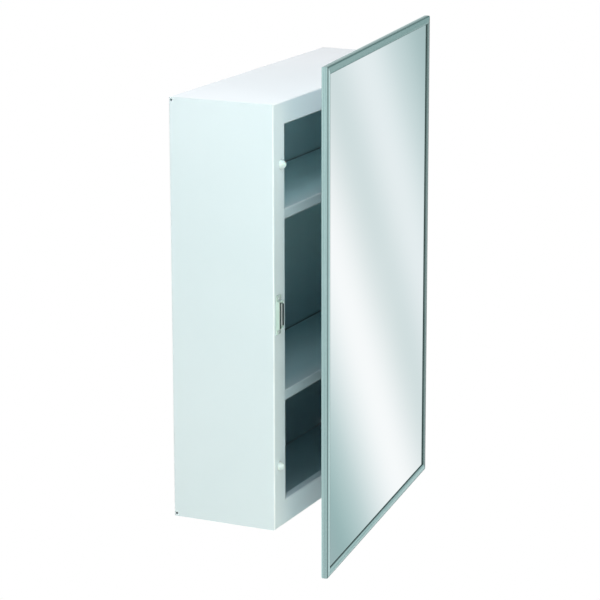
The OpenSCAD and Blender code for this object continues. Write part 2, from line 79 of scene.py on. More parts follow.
# Body shell
# One sheet of 1 mm steel folded up into the back and four walls, with its corners welded, then
# coated inside and out with baked white enamel. Inside, a painted shade makes the coat cooler and
# darker towards the bottom, and a little lighter near the top; the folds get a painted highlight
# and the creases a painted shade.
def connect(tree, node, values):
    """Gives a node's sockets their values: a number or a colour as it is, an output by a link."""
    for name, value in values.items():
        socket = node.inputs[name]
        if isinstance(value, bpy.types.NodeSocket):
            tree.links.new(value, socket)
        else:
            socket.default_value = value


def add(tree, kind, spot, values=None, **settings):
    """A node at a spot in the tree, with its settings and the values of its sockets."""
    made = tree.nodes.new(kind)
    made.location = spot
    for name, value in settings.items():
        setattr(made, name, value)
    connect(tree, made, values or {})
    return made


def maths(tree, operation, *values, spot=(0, 0)):
    """The result of a Math node on numbers or outputs."""
    made = add(tree, "ShaderNodeMath", spot, dict(enumerate(values)), operation=operation)
    return made.outputs[0]


def ranged(tree, value, span, result=(0.0, 1.0), spot=(0, 0), **settings):
    """A value mapped from one span to another, and held inside it."""
    made = add(tree, "ShaderNodeMapRange", spot, {
        "Value": value, "From Min": span[0], "From Max": span[1],
        "To Min": result[0], "To Max": result[1]}, **settings)
    return made.outputs["Result"]


def mixed(tree, mask, low, high, spot):
    """A mix of two colours by a mask. Each is three numbers or an output."""
    first, second = ((*tone, 1) if isinstance(tone, tuple) else tone for tone in (low, high))
    made = add(tree, "ShaderNodeMix", spot, data_type="RGBA")
    connect(tree, made, {0: mask, 6: first, 7: second})
    return made.outputs[2]


def scaled(tree, colour, share, spot):
    """A colour times a share."""
    made = add(tree, "ShaderNodeVectorMath", spot, {0: colour, "Scale": share}, operation="SCALE")
    return made.outputs[0]


def absolute_parts(tree, vector):
    """The sizes of the X, Y and Z of a vector."""
    size = add(tree, "ShaderNodeVectorMath", (-700, 200), {0: vector}, operation="ABSOLUTE")
    return add(tree, "ShaderNodeSeparateXYZ", (-500, 200), {0: size.outputs[0]}).outputs


def new_group(name, inputs, outputs):
    """An empty shader node group and its two end nodes. The inputs are named with their values, and
    the outputs are numbers."""
    group = bpy.data.node_groups.new(name, "ShaderNodeTree")
    for label, value in inputs.items():
        kind = "NodeSocketVector" if isinstance(value, tuple) else "NodeSocketFloat"
        group.interface.new_socket(label, in_out="INPUT", socket_type=kind).default_value = value
    for label in outputs:
        group.interface.new_socket(label, in_out="OUTPUT", socket_type="NodeSocketFloat")
    start, end = add(group, "NodeGroupInput", (-900, 0)), add(group, "NodeGroupOutput", (700, 0))
    return group, start.outputs, end


def make_mottle_group():
    """Slow changes of tone, patches of gloss and a fine pebbled surface, as on any baked or moulded
    skin."""
    group, given, end = new_group(
        "mottle", {"Patch Scale": 6.0, "Grain Scale": 300.0, "Gloss Low": 0.3, "Gloss High": 0.4},
        ["Tone", "Roughness", "Height"])
    place = add(group, "ShaderNodeTexCoord", (-900, 300)).outputs["Object"]
    patch = add(group, "ShaderNodeTexNoise", (-600, 200), {
        "Vector": place, "Scale": given["Patch Scale"], "Detail": 3.0, "Roughness": 0.5})
    grain = add(group, "ShaderNodeTexNoise", (-600, -200), {
        "Vector": place, "Scale": given["Grain Scale"], "Detail": 2.0, "Roughness": 0.4})
    tone = ranged(group, patch.outputs["Fac"], (0.3, 0.7), spot=(-300, 300))
    gloss = ranged(group, tone, (0.0, 1.0), (given["Gloss Low"], given["Gloss High"]))
    connect(group, end, {"Tone": tone, "Roughness": gloss, "Height": grain.outputs["Fac"]})
    return group


def make_crease_group():
    """How open a spot lies: 1 on a free face, and down to Low in a crease or under a lap."""
    group, given, end = new_group("crease", {"Reach": 0.003, "Low": 0.4}, ["Openness"])
    nearby = add(group, "ShaderNodeAmbientOcclusion", (-600, 100), {"Distance": given["Reach"]},
                 samples=6)
    openness = ranged(group, nearby.outputs["AO"], (0.45, 0.85), (given["Low"], 1.0), (-200, 0))
    connect(group, end, {"Openness": openness})
    return group


def make_fold_group():
    """A mask of the folds between square faces, where the normal leans between two axes."""
    group, given, end = new_group("folds", {"Amount": 1.0}, ["Mask"])
    normal = add(group, "ShaderNodeTexCoord", (-900, 200)).outputs["Normal"]
    axes = absolute_parts(group, normal)
    largest = maths(group, "MAXIMUM", axes["X"], axes["Y"], spot=(-300, 300))
    square = maths(group, "MAXIMUM", largest, axes["Z"], spot=(-100, 300))
    leaning = ranged(group, square, (0.975, 0.85), spot=(100, 200))
    connect(group, end, {"Mask": maths(group, "MULTIPLY", leaning, given["Amount"], spot=(300, 0))})
    return group


def make_indoors_group():
    """A mask of the inside of the body, which fades in behind the opening, and the height there,
    from 0 near the bottom to 1 near the top."""
    walls = {"X": (0.1947, 0.1943), "Y": (0.118, 0.092), "Z": (0.2347, 0.2343)}
    group, _, end = new_group("indoors", {}, ["Mask", "Height"])
    place = add(group, "ShaderNodeTexCoord", (-900, 0)).outputs["Object"]
    reach = absolute_parts(group, place)
    across, behind, between = (ranged(group, reach[axis], span, spot=(-300, 200))
                               for axis, span in walls.items())
    both = maths(group, "MULTIPLY", across, behind, spot=(-100, 200))
    level = add(group, "ShaderNodeSeparateXYZ", (-700, -200), {0: place}).outputs["Z"]
    connect(group, end, {"Mask": maths(group, "MULTIPLY", both, between, spot=(100, 200)),
                         "Height": ranged(group, level, (-0.2, 0.2), spot=(-300, -200))})
    return group


mottle, crease = make_mottle_group(), make_crease_group()
folds, indoors = make_fold_group(), make_indoors_group()


def new_finish(name):
    """A material with a bare Principled shader, its tree, and that shader."""
    finish = bpy.data.materials.new(name)
    finish.use_nodes = True
    shader = finish.node_tree.nodes["Principled BSDF"]
    shader.location = (600, 0)
    finish.node_tree.nodes["Material Output"].location = (900, 0)
    return finish, finish.node_tree, shader


def skin(tree, shader, dark, light, patch, grain, gloss, relief):
    """Mottled tone, gloss and pebbling on a shader. Patch and grain are the scales of the mottling
    and the pebbles, gloss is the least and most roughness, and relief the strength and height of
    the pebbles. Gives back the tone."""
    mottled = add(tree, "ShaderNodeGroup", (-600, 0), {
        "Patch Scale": patch, "Grain Scale": grain, "Gloss Low": gloss[0], "Gloss High": gloss[1]},
        node_tree=mottle).outputs
    colour = mixed(tree, mottled["Tone"], dark, light, (-200, 200))
    bump = add(tree, "ShaderNodeBump", (200, -300), {
        "Strength": relief[0], "Distance": relief[1], "Height": mottled["Height"]})
    connect(tree, shader, {"Base Color": colour, "Roughness": mottled["Roughness"],
                           "Normal": bump.outputs["Normal"]})
    return colour


def dress(finish, *names):
    """Gives CAD nodes a finish."""
    for name in names:
        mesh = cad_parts[name].data
        mesh.materials.clear()
        mesh.materials.append(finish)


# Painted shade inside the body: the inner coat is painted cooler, darker towards the bottom and a
# little lighter near the top.
inside_painted_shade_bottom, inside_painted_light_top = (0.49, 0.67, 0.72), (0.67, 0.93, 0.96)
painted_fold_highlight = (0.93, 0.97, 0.97)
enamel, tree, shader = new_finish("white_enamel")
coat = skin(tree, shader, (0.697, 0.822, 0.855), (0.732, 0.847, 0.88),
            patch=5.0, grain=420.0, gloss=(0.3, 0.38), relief=(0.12, 0.0002))
inside = add(tree, "ShaderNodeGroup", (-600, 600), node_tree=indoors).outputs
inside_painted_light_and_shade = mixed(tree, inside["Height"], inside_painted_shade_bottom, inside_painted_light_top, (-400, 600))
coat = mixed(tree, inside["Mask"], coat, inside_painted_light_and_shade, (-200, 400))
# Painted highlight: the folds are painted lighter.
fold_highlight_mask = add(tree, "ShaderNodeGroup", (-200, 600), {"Amount": 0.55}, node_tree=folds)
coat = mixed(tree, fold_highlight_mask.outputs["Mask"], coat, painted_fold_highlight, (0, 300))
# Painted shade: the coat is painted darker in creases and under laps.
crease_shade = add(tree, "ShaderNodeGroup", (0, 600), {"Reach": 0.003, "Low": 0.35}, node_tree=crease)
connect(tree, shader, {
    "Base Color": scaled(tree, coat, crease_shade.outputs["Openness"], (200, 300)),
    "Coat Weight": 0.15, "Coat Roughness": 0.15})
dress(enamel, "body_shell")


# Face frame
# A ring stamped from the same sheet steel, with its inner edge turned in as a lip round the
# opening. It is welded to the shell's front edges and enamelled with it.
dress(enamel, "face_frame")


# Shelf standards
# Four channels of thin steel with a row of slots. They are welded upright to the side walls, two
# at the front and two at the back, under the same enamel.
dress(enamel, "standard_front_left", "standard_front_right", "standard_rear_left",
      "standard_rear_right")


# Shelves
# Two boards folded from sheet steel, with a hemmed flange in front and a plain one behind. They
# are enamelled and lie loose on their clips.
dress(enamel, "upper_shelf", "lower_shelf")


# Shelf clips
# Strips of steel bent into a bracket with a hook, and plated with zinc. The hook drops into a slot
# of the standard, and the bracket holds out a ledge for the shelf.
zinc, tree, shader = new_finish("zinc_plate")
skin(tree, shader, (0.56, 0.63, 0.64), (0.7, 0.77, 0.78),
     patch=160.0, grain=1200.0, gloss=(0.25, 0.42), relief=(0.1, 0.0001))
connect(tree, shader, {"Metallic": 0.6})


def round_path(points, radius, steps=6):
    """A path of 2D points with each inner corner turned into an arc."""
    path = [Vector(points[0])]
    for before, corner, after in zip(points, points[1:], points[2:]):
        corner = Vector(corner)
        back, on = (Vector(before) - corner).normalized(), (Vector(after) - corner).normalized()
        half_angle = back.angle(on) / 2
        reach = radius / math.tan(half_angle)
        centre = corner + (back + on).normalized() * radius / math.sin(half_angle)
        start, stop = corner + back * reach - centre, corner + on * reach - centre
        for step in range(steps + 1):
            turn = start.normalized().slerp(stop.normalized(), step / steps)
            path.append(centre + turn * radius)
    return path + [Vector(points[-1])]


def strip_outline(path, thickness):
    """The closed outline of a strip whose middle follows a path."""
    left, right = [], []
    for index, point in enumerate(path):
        ahead = path[min(index + 1, len(path) - 1)] - path[max(index - 1, 0)]
        normal = Vector((-ahead.y, ahead.x)).normalized() * thickness / 2
        left.append(point + normal)
        right.append(point - normal)
    return left + right[::-1]


def prism_faces(count):
    """The faces of a prism: its two ends, then the ring of sides between them."""
    ends = [tuple(range(count))[::-1], tuple(range(count, 2 * count))]
    return ends + [(i, (i + 1) % count, count + (i + 1) % count, count + i) for i in range(count)]


def prism(outline, low, high, place):
    """A closed outline drawn out between two depths. Place turns (u, v, depth) into a point."""
    points = [place(u, v, depth) for depth in (low, high) for u, v in outline]
    return points, prism_faces(len(outline))


def join_parts(parts):
    """Several (points, faces) pairs as one."""
    points, faces = [], []
    for some_points, some_faces in parts:
        faces += [tuple(index + len(points) for index in face) for face in some_faces]
        points += some_points
    return points, faces


def new_piece(name, points, faces, finish, slot, body, replaced, edge=0.0, smooth=35):
    """A mesh piece that rides on a body in place of CAD nodes, with softened edges."""
    mesh = bpy.data.meshes.new(name)
    mesh.from_pydata([tuple(point) for point in points], [], faces)
    shape = bmesh.new()
    shape.from_mesh(mesh)
    bmesh.ops.recalc_face_normals(shape, faces=shape.faces)
    shape.to_mesh(mesh)
    shape.free()
    mesh.shade_smooth()
    mesh.set_sharp_from_angle(angle=math.radians(smooth))
    mesh.materials.append(finish)
    piece = bpy.data.objects.new(name, mesh)
    bpy.context.scene.collection.objects.link(piece)
    if edge:
        soften = piece.modifiers.new("soft edges", "BEVEL")
        soften.width = edge
        soften.segments = 2
        soften.limit_method = "ANGLE"
        soften.angle_limit = math.radians(smooth)
        soften.harden_normals = True
    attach(piece, body)
    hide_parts(*replaced)
    return piece


standard_face = 0.190
standard_depths = (-0.096, -0.026)
clip_width, clip_sheet = 0.009, 0.0012
ledge_high, ledge_reach, leg_drop = 0.00505, 0.012, 0.007
hook_neck, hook_reach, hook_drop = 0.0009, 0.0017, 0.0035
bracket_bend, hook_bend = 0.0012, 0.0007

half_sheet = clip_sheet / 2
bracket = round_path([(-half_sheet, -leg_drop), (-half_sheet, ledge_high - half_sheet),
                      (-ledge_reach, ledge_high - half_sheet)], bracket_bend)
hook = round_path([(-half_sheet, -hook_neck), (hook_reach, -hook_neck),
                   (hook_reach, -hook_drop)], hook_bend)
for name, slot_height in (("upper_shelf_clips", 0.10795), ("lower_shelf_clips", -0.09525)):
    parts = []
    for side in (-1, 1):
        for depth in standard_depths:
            def clip_spot(u, v, across):
                return Vector((side * (standard_face + u), depth + across, slot_height + v))
            for path in (bracket, hook):
                parts.append(prism(strip_outline(path, clip_sheet),
                                   -clip_width / 2, clip_width / 2, clip_spot))
    new_piece(name.replace("shelf_", ""), *join_parts(parts), zinc, "zinc_plate", "cabinet", [name],
              edge=0.00015)


# Hinge
# Two leaves of satin steel strip, rolled into knuckles round one long pin. One leaf is riveted to
# the face frame and the other to the wide lip of the door's hinge stile.
door_angle = math.radians(7.5)
hinge_line = Vector((0.1975, -0.1265, 0))
door_turn = (Matrix.Translation(hinge_line) @ Matrix.Rotation(door_angle, 4, "Z")
             @ Matrix.Translation(-hinge_line))
unturned = Matrix.Identity(4)


def make_grain_group():
    """Fine scratches that all run one way: tone, gloss and height. Stretch squeezes space across
    the grain."""
    group, given, end = new_group(
        "brushed grain", {"Stretch": (900.0, 900.0, 12.0), "Gloss Low": 0.25, "Gloss High": 0.4},
        ["Tone", "Roughness", "Height"])
    place = add(group, "ShaderNodeTexCoord", (-900, 300)).outputs["Object"]
    squeezed = add(group, "ShaderNodeVectorMath", (-600, 200), {0: place, 1: given["Stretch"]},
                   operation="MULTIPLY")
    scratch = add(group, "ShaderNodeTexNoise", (-300, 200), {
        "Vector": squeezed.outputs[0], "Scale": 1.0, "Detail": 4.0, "Roughness": 0.7})
    depth = scratch.outputs["Fac"]
    gloss = ranged(group, depth, (0.3, 0.7), (given["Gloss Low"], given["Gloss High"]))
    connect(group, end, {"Tone": depth, "Roughness": gloss, "Height": depth})
    return group


brushed_grain = make_grain_group()


def brushed(name, dark, light, stretch, gloss, front=1.0):
    """A brushed metal whose grain runs along the axis with the small stretch. Gloss is the least
    and most roughness. Front scales the tone of the faces that look the door's way, a painted light
    or painted shade there, and creases are painted darker as painted shade."""
    finish, tree, shader = new_finish(name)
    grain = add(tree, "ShaderNodeGroup", (-600, 0), {
        "Stretch": stretch, "Gloss Low": gloss[0], "Gloss High": gloss[1]},
        node_tree=brushed_grain).outputs
    colour = mixed(tree, grain["Tone"], dark, light, (-200, 200))
    normal = add(tree, "ShaderNodeTexCoord", (-800, 500)).outputs["Normal"]
    facing = add(tree, "ShaderNodeVectorMath", (-600, 500), {
        0: normal, 1: (math.sin(door_angle), -math.cos(door_angle), 0)}, operation="DOT_PRODUCT")
    # Painted light or shade on the faces that look the door's way, and painted shade in creases.
    front_painted_light = ranged(tree, facing.outputs["Value"], (0.9, 0.97), (1.0, front), (-400, 500))
    crease_shade = add(tree, "ShaderNodeGroup", (-400, 700), {"Reach": 0.002, "Low": 0.35},
                  node_tree=crease)
    tone = maths(tree, "MULTIPLY", crease_shade.outputs["Openness"], front_painted_light, spot=(-200, 600))
    bump = add(tree, "ShaderNodeBump", (200, -300), {
        "Strength": 0.15, "Distance": 0.00005, "Height": grain["Height"]})
    connect(tree, shader, {
        "Base Color": scaled(tree, colour, tone, (0, 200)), "Roughness": grain["Roughness"],
        "Normal": bump.outputs["Normal"], "Metallic": 1.0})
    return finish


hinge_steel = brushed("hinge_steel", (0.46, 0.53, 0.53), (0.66, 0.72, 0.72),
                      stretch=(900, 900, 12), gloss=(0.28, 0.42))
dress(hinge_steel, "hinge_body_leaf", "hinge_door_leaf", "hinge_pin")


# Rivets
# Turned steel rivets with domed heads. Five hold each leaf of the hinge, where the ones in the body
# have spread tails, and two more hold the strike plate to the back of the door.
rivet_steel = brushed("rivet_steel", (0.5, 0.56, 0.56), (0.68, 0.73, 0.73),
                      stretch=(700, 60, 700), gloss=(0.25, 0.38))
rivet_shank, rivet_head, rivet_rim, rivet_dome = 0.0016, 0.0032, 0.00015, 0.00075
rivet_tail = 0.0030


def turned(profile, spot, turn, forward=-1, around=32):
    """A turned shape on an axis along Y. The profile gives (radius, height), from the face out."""
    points, faces = [], []
    for radius, height in profile:
        for step in range(around):
            angle = 2 * math.pi * step / around
            points.append(turn @ Vector((spot[0] + radius * math.cos(angle),
                                         spot[1] + forward * height,
                                         spot[2] + radius * math.sin(angle))))
    for ring in range(len(profile) - 1):
        for step in range(around):
            first, second = ring * around + step, ring * around + (step + 1) % around
            faces.append((first, second, second + around, first + around))
    faces.append(tuple(range(around))[::-1])
    faces.append(tuple(range(len(points) - around, len(points))))
    return points, faces


def rounded(radius, base, high, start, stop, step):
    """The points of a profile's rounded part: an ellipse above a base, with angles in degrees."""
    angles = (math.radians(start + step * count)
              for count in range(round((stop - start) / step) + 1))
    return [(radius * math.cos(angle), base + high * math.sin(angle)) for angle in angles]


def rivet_profile(grip, tail=False):
    """A domed head on its shank, which reaches in by the grip, with a spread tail if it has one."""
    back = [(rivet_shank, -grip)]
    if tail:
        back = [(0.0012, -grip - 0.0009), (0.0024, -grip - 0.0008), (rivet_tail, -grip - 0.0003),
                (rivet_tail, -grip)] + back
    dome = rounded(rivet_head, rivet_rim, rivet_dome, 0, 80, 10)
    return back + [(rivet_shank, 0), (rivet_head, 0)] + dome + [(0.0002, 0.0009)]


leaf_rivet_heights = (-0.2, -0.1, 0.0, 0.1, 0.2)
strike_rivet_heights = (-0.014, 0.026)
for name, profile, across, depth, heights, turn, forward, body, node in (
    ("hinge_rivets_on_body", rivet_profile(0.002, tail=True), 0.184125, -0.125, leaf_rivet_heights,
     unturned, -1, "cabinet", "body_leaf_rivets"),
    ("hinge_rivets_on_door", rivet_profile(0.0028), 0.184125, -0.128, leaf_rivet_heights,
     door_turn, 1, "door", "door_leaf_rivets"),
    ("strike_plate_rivets", rivet_profile(0.0015), -0.18395, -0.1293, strike_rivet_heights,
     door_turn, 1, "door", "strike_rivets"),
):
    new_piece(name, *join_parts([turned(profile, (across, depth, height), turn, forward)
                                 for height in heights]),
              rivet_steel, "rivet_steel", body, [node])


# Door frame
# Four channels of satin stainless steel, folded to hold the glass under a turned-back lip, mitred
# at the corners and brushed along each length. They are one steel, but each length has its own
# painted light or painted shade, the hinge stile painted darkest. The hinge stile has a wide lip
# behind for the hinge.
satin_gloss = (0.08, 0.14)
grain_upright, grain_level = (900, 900, 10), (10, 900, 900)
# Painted light and shade: the lengths are one steel, and their different tones and front shares
# stand in for how the light falls on each.
free_stile_steel = brushed("stainless_frame_upright", (0.39, 0.53, 0.52), (0.55, 0.69, 0.68),
                           grain_upright, satin_gloss, front=1.4)
hinge_stile_steel = brushed("stainless_frame_hinge_side", (0.22, 0.315, 0.3), (0.34, 0.45, 0.435),
                            grain_upright, satin_gloss, front=0.8)
top_steel = brushed("stainless_frame_top", (0.27, 0.5, 0.48), (0.42, 0.71, 0.68),
                    grain_level, satin_gloss, front=0.64)
bottom_steel = brushed("stainless_frame_bottom", (0.31, 0.48, 0.47), (0.48, 0.67, 0.65),
                       grain_level, satin_gloss, front=1.05)
door_width, door_height, door_front = 0.406, 0.559, -0.137
channel_deep, channel_sheet, channel_fold = 0.008, 0.0012, 0.0018
front_lip, back_lip, hinge_lip = 0.009, 0.012, 0.030
lip_turn, lip_flat, lip_slope = 0.0015, 0.0062, math.radians(9)
mitre_gap = 0.00006
hinge_lip_gap, hinge_lip_lap = 0.0001, 0.0005


def arc(centre, radius, start, stop, steps=6):
    """Points on an arc, with its angles in degrees."""
    angles = (math.radians(start + (stop - start) * step / steps) for step in range(steps + 1))
    return [(centre[0] + radius * math.cos(angle), centre[1] + radius * math.sin(angle))
            for angle in angles]


def channel_outline():
    """The channel's section: inwards from the door's outer edge, and from its front to its back."""
    fold, sheet = channel_fold, channel_sheet
    front, rear = (fold, fold), (fold, channel_deep - fold)
    inner = front_lip - sheet
    sloped = (inner - lip_flat) * math.tan(lip_slope)
    edge = (inner, sloped + sheet / math.cos(lip_slope))
    return ([(front_lip, lip_turn)] + arc(edge, sheet, 360, 270 + math.degrees(lip_slope))
            + [(lip_flat, 0)] + arc(front, fold, 270, 180) + arc(rear, fold, 180, 90)
            + [(back_lip, channel_deep), (back_lip, channel_deep - sheet)]
            + arc(rear, fold - sheet, 90, 180) + arc(front, fold - sheet, 180, 270)
            + [(lip_flat, sheet), (inner, sheet + sloped), (inner, lip_turn)])


def mitred(outline, length, place):
    """A section run along a side of the door, cut at 45 degrees at both ends."""
    points = [door_turn @ place(end * (length / 2 - u - mitre_gap), u, v)
              for end in (-1, 1) for u, v in outline]
    return points, prism_faces(len(outline))


half_width, half_height = door_width / 2, door_height / 2
for side, length, finish, place in (
    ("top", door_width, top_steel,
     lambda run, u, v: Vector((run, door_front + v, half_height - u))),
    ("bottom", door_width, bottom_steel,
     lambda run, u, v: Vector((run, door_front + v, u - half_height))),
    ("free_stile", door_height, free_stile_steel,
     lambda run, u, v: Vector((u - half_width, door_front + v, run))),
    ("hinge_stile", door_height, hinge_stile_steel,
     lambda run, u, v: Vector((half_width - u, door_front + v, run))),
):
    parts = [mitred(channel_outline(), length, place)]
    if side == "hinge_stile":
        lap, lip_front = back_lip - hinge_lip_lap, channel_deep - channel_sheet
        wide_lip = [(lap, lip_front), (hinge_lip, lip_front), (hinge_lip, channel_deep),
                    (lap, channel_deep)]
        reach = half_height - back_lip - hinge_lip_gap
        parts.append(prism(wide_lip, -reach, reach, lambda u, v, run: door_turn @ place(run, u, v)))
    new_piece("channel_" + side, *join_parts(parts), finish, "stainless_frame", "door",
              ["frame_" + side], edge=0.00018)


# Mirror
# One pane of float glass with its back silvered, held under the frame's lip. The silver stands a
# little in front of its real place, about where the glass before it makes it appear.
silvered, tree, shader = new_finish("mirror")
skin(tree, shader, (0.9, 0.945, 0.95), (0.93, 0.965, 0.965),
     patch=3.0, grain=40.0, gloss=(0.02, 0.035), relief=(0.0, 0.0001))
connect(tree, shader, {"Metallic": 1.0})
pane_half_width, pane_half_height = 0.2013, 0.2778
silver_front, pane_back = -0.1352, -0.1316
pane_corners = [(-pane_half_width, -pane_half_height), (pane_half_width, -pane_half_height),
                (pane_half_width, pane_half_height), (-pane_half_width, pane_half_height)]
new_piece("mirror", *prism(pane_corners, silver_front, pane_back,
                           lambda u, v, depth: door_turn @ Vector((u, depth, v))),
          silvered, "mirror", "door", ["mirror_glass"], edge=0.0002)


# Door filling
# A brown hardboard sheet behind the mirror takes up the channel's depth, and an enamelled steel
# sheet closes the back. A zinc plated strike plate is riveted to that, opposite the catch.
hardboard, tree, shader = new_finish("hardboard")
skin(tree, shader, (0.16, 0.09, 0.045), (0.24, 0.14, 0.07),
     patch=30.0, grain=700.0, gloss=(0.7, 0.85), relief=(0.4, 0.0003))
dress(hardboard, "filler_board")
dress(enamel, "door_back_panel")
dress(zinc, "strike_plate")


# Magnetic catch
# A moulded nylon case, screwed to the face frame beside the opening by an ear above and below. It
# holds a pale ferrite magnet between two dark steel pole plates, painted near black to carry the
# painted shade of the gaps beside the magnet as well. The screws have round heads with a cross
# recess.
nylon, tree, shader = new_finish("catch_plastic")
skin(tree, shader, (0.52, 0.66, 0.6), (0.6, 0.74, 0.68),
     patch=60.0, grain=900.0, gloss=(0.4, 0.5), relief=(0.15, 0.0001))
dress(nylon, "catch_body")

ferrite, tree, shader = new_finish("ferrite")
skin(tree, shader, (0.4, 0.46, 0.46), (0.5, 0.56, 0.56),
     patch=80.0, grain=1500.0, gloss=(0.6, 0.75), relief=(0.3, 0.0002))
dress(ferrite, "catch_magnet")

# Partly painted shade: the pole plates are dark steel, painted near black to stand for the shade in
# the gaps beside the magnet too.
pole_steel, tree, shader = new_finish("pole_steel")
skin(tree, shader, (0.006, 0.014, 0.016), (0.016, 0.028, 0.03),
     patch=90.0, grain=900.0, gloss=(0.6, 0.7), relief=(0.15, 0.0001))
connect(tree, shader, {"Specular IOR Level": 0.1})
dress(pole_steel, "catch_pole_plates")

screw_across, screw_seat, screw_heights = -0.1852, -0.1252, (-0.0122, 0.0242)
screw_shank, screw_long = 0.00145, 0.008
screw_head, screw_rim, screw_dome, head_high = 0.0025, 0.0005, 0.0011, 0.0016
recess_wide, recess_narrow, recess_deep = 0.0027, 0.0007, 0.0016

pan_head = ([(screw_shank, -screw_long), (screw_shank, 0), (screw_head, 0), (screw_head, screw_rim)]
            + rounded(screw_head, screw_rim, screw_dome, 9, 81, 9) + [(0.0001, head_high)])
screws = new_piece("catch_screw_pair", *join_parts([
    turned(pan_head, (screw_across, screw_seat, height), unturned) for height in screw_heights]),
    zinc, "zinc_plate", "cabinet", ["catch_screws"])

recess = bmesh.new()
for height in screw_heights:
    for wide, high in ((recess_wide, recess_narrow), (recess_narrow, recess_wide)):
        cross = bmesh.ops.create_cube(recess, size=1.0)["verts"]
        bmesh.ops.scale(recess, vec=(wide, recess_deep, high), verts=cross)
        bmesh.ops.translate(recess, vec=(screw_across, screw_seat - head_high, height), verts=cross)
recess_mesh = bpy.data.meshes.new("recess")
recess.to_mesh(recess_mesh)
recess.free()
cutter = bpy.data.objects.new("recess", recess_mesh)
bpy.context.scene.collection.objects.link(cutter)
cutting = screws.modifiers.new("cross recess", "BOOLEAN")
cutting.operation, cutting.object, cutting.solver = "DIFFERENCE", cutter, "EXACT"
cutting.use_self = True
bpy.context.view_layer.update()
evaluated = screws.evaluated_get(bpy.context.evaluated_depsgraph_get())
cut_mesh = bpy.data.meshes.new_from_object(evaluated)
screws.modifiers.clear()
screws.data = cut_mesh
bpy.data.objects.remove(cutter)


# Bumpers
# Domed plugs of white rubber on a thin round foot. Each is pushed by its barbed stem into a hole
# of the face frame, where the door's back comes to rest.
rubber, tree, shader = new_finish("bumper_rubber")
skin(tree, shader, (0.64, 0.75, 0.73), (0.72, 0.82, 0.8),
     patch=90.0, grain=1200.0, gloss=(0.3, 0.4), relief=(0.1, 0.0001))
connect(tree, shader, {"Subsurface Weight": 0.1, "Subsurface Scale": 0.002})
stem_radius, stem_long, barb_radius, barb_seat = 0.002, 0.004, 0.0026, 0.0011
foot_radius, foot_high, foot_round = 0.005, 0.0007, 0.0003
dome_radius, dome_base, bumper_high = 0.0045, 0.0014, 0.0059

foot_edge = [(foot_radius - foot_round + radius, height)
             for radius, height in rounded(foot_round, foot_high, foot_round, 22.5, 67.5, 22.5)]
plug = ([(stem_radius, -stem_long), (barb_radius, -barb_seat), (stem_radius, -barb_seat),
         (stem_radius, 0), (foot_radius, 0), (foot_radius, foot_high)] + foot_edge
        + [(foot_radius - foot_round, foot_high + foot_round),
           (dome_radius + 0.00005, 0.00115), (dome_radius, dome_base)]
        + rounded(dome_radius, dome_base, dome_radius, 7.5, 82.5, 7.5) + [(0.0001, bumper_high)])
for name, node, spot in (
    ("upper_door_bumper", "upper_bumper", (-0.1765, -0.124, 0.1685)),
    ("lower_door_bumper", "lower_bumper", (-0.1825, -0.124, -0.1645)),
):
    new_piece(name, *turned(plug, spot, unturned, around=40), rubber, "bumper_rubber", "cabinet",
              [node])


# Studio floor
# A plain pale floor well below the cabinet. The camera sees it white, but for the cabinet's soft
# shadow, and sees through it from below.
floor_reach, floor_height = 9, -1.1
shadow_reach, shadow_openness, shadow_tone = 2.0, (0.5, 0.93), (0.55, 1.0)
floor_mesh = bpy.data.meshes.new("floor")
floor_mesh.from_pydata([(-floor_reach, -floor_reach, 0), (floor_reach, -floor_reach, 0),
                        (floor_reach, floor_reach, 0), (-floor_reach, floor_reach, 0)],
                       [], [(0, 1, 2, 3)])
floor = bpy.data.objects.new("floor", floor_mesh)
floor.location = (0, 0, floor_height)
floor.visible_glossy = False
floor.visible_transmission = False
bpy.context.scene.collection.objects.link(floor)
floor_finish, tree, shader = new_finish("floor")
connect(tree, shader, {"Base Color": (0.8, 0.82, 0.82, 1), "Roughness": 0.9})
shadow = add(tree, "ShaderNodeAmbientOcclusion", (-200, 400), {"Distance": shadow_reach},
             samples=8)
white = add(tree, "ShaderNodeEmission", (300, 300), {
    "Color": (1, 1, 1, 1),
    "Strength": ranged(tree, shadow.outputs["AO"], shadow_openness, shadow_tone, (0, 300))})
rays = add(tree, "ShaderNodeLightPath", (0, 500)).outputs
seen = add(tree, "ShaderNodeMixShader", (1100, 200), {
    0: rays["Is Camera Ray"], 1: shader.outputs[0], 2: white.outputs[0]})
underside = add(tree, "ShaderNodeNewGeometry", (1100, 500)).outputs["Backfacing"]
clear = add(tree, "ShaderNodeBsdfTransparent", (1100, 0))
one_sided = add(tree, "ShaderNodeMixShader", (1300, 200), {
    0: underside, 1: seen.outputs[0], 2: clear.outputs[0]})
connect(tree, tree.nodes["Material Output"], {"Surface": one_sided.outputs[0]})
floor_mesh.materials.append(floor_finish)


# Studio surround
# White to the camera, and no light of its own. Metal and glass show soft slanting streaks in it,
# laid out round the way the door faces, with grey screens in front, above and low on the right,
# and brighter panels on the left and behind.
world = bpy.data.worlds.new("studio")
world.use_nodes = True
bpy.context.scene.world = world
tree = world.node_tree
tree.nodes.clear()
direction = add(tree, "ShaderNodeTexCoord", (-1800, 0)).outputs["Generated"]
way = add(tree, "ShaderNodeSeparateXYZ", (-1600, 0), {0: direction}).outputs
bearing = maths(tree, "ARCTAN2", way["Y"], way["X"], spot=(-1400, 200))
bearing_share = maths(tree, "ADD", maths(tree, "DIVIDE", bearing, 2 * math.pi), 0.5)


def ramp(value, stops, spot, interpolation="EASE"):
    """A colour ramp on a value, from (place, tone) stops. A tone is a grey or three numbers."""
    made = add(tree, "ShaderNodeValToRGB", spot, {0: value})
    made.color_ramp.interpolation = interpolation
    for index, (place, tone) in enumerate(stops):
        stop = (made.color_ramp.elements[index] if index < 2
                else made.color_ramp.elements.new(place))
        stop.position = place
        stop.color = (*tone, 1) if isinstance(tone, tuple) else (tone, tone, tone, 1)
    return made.outputs[0]


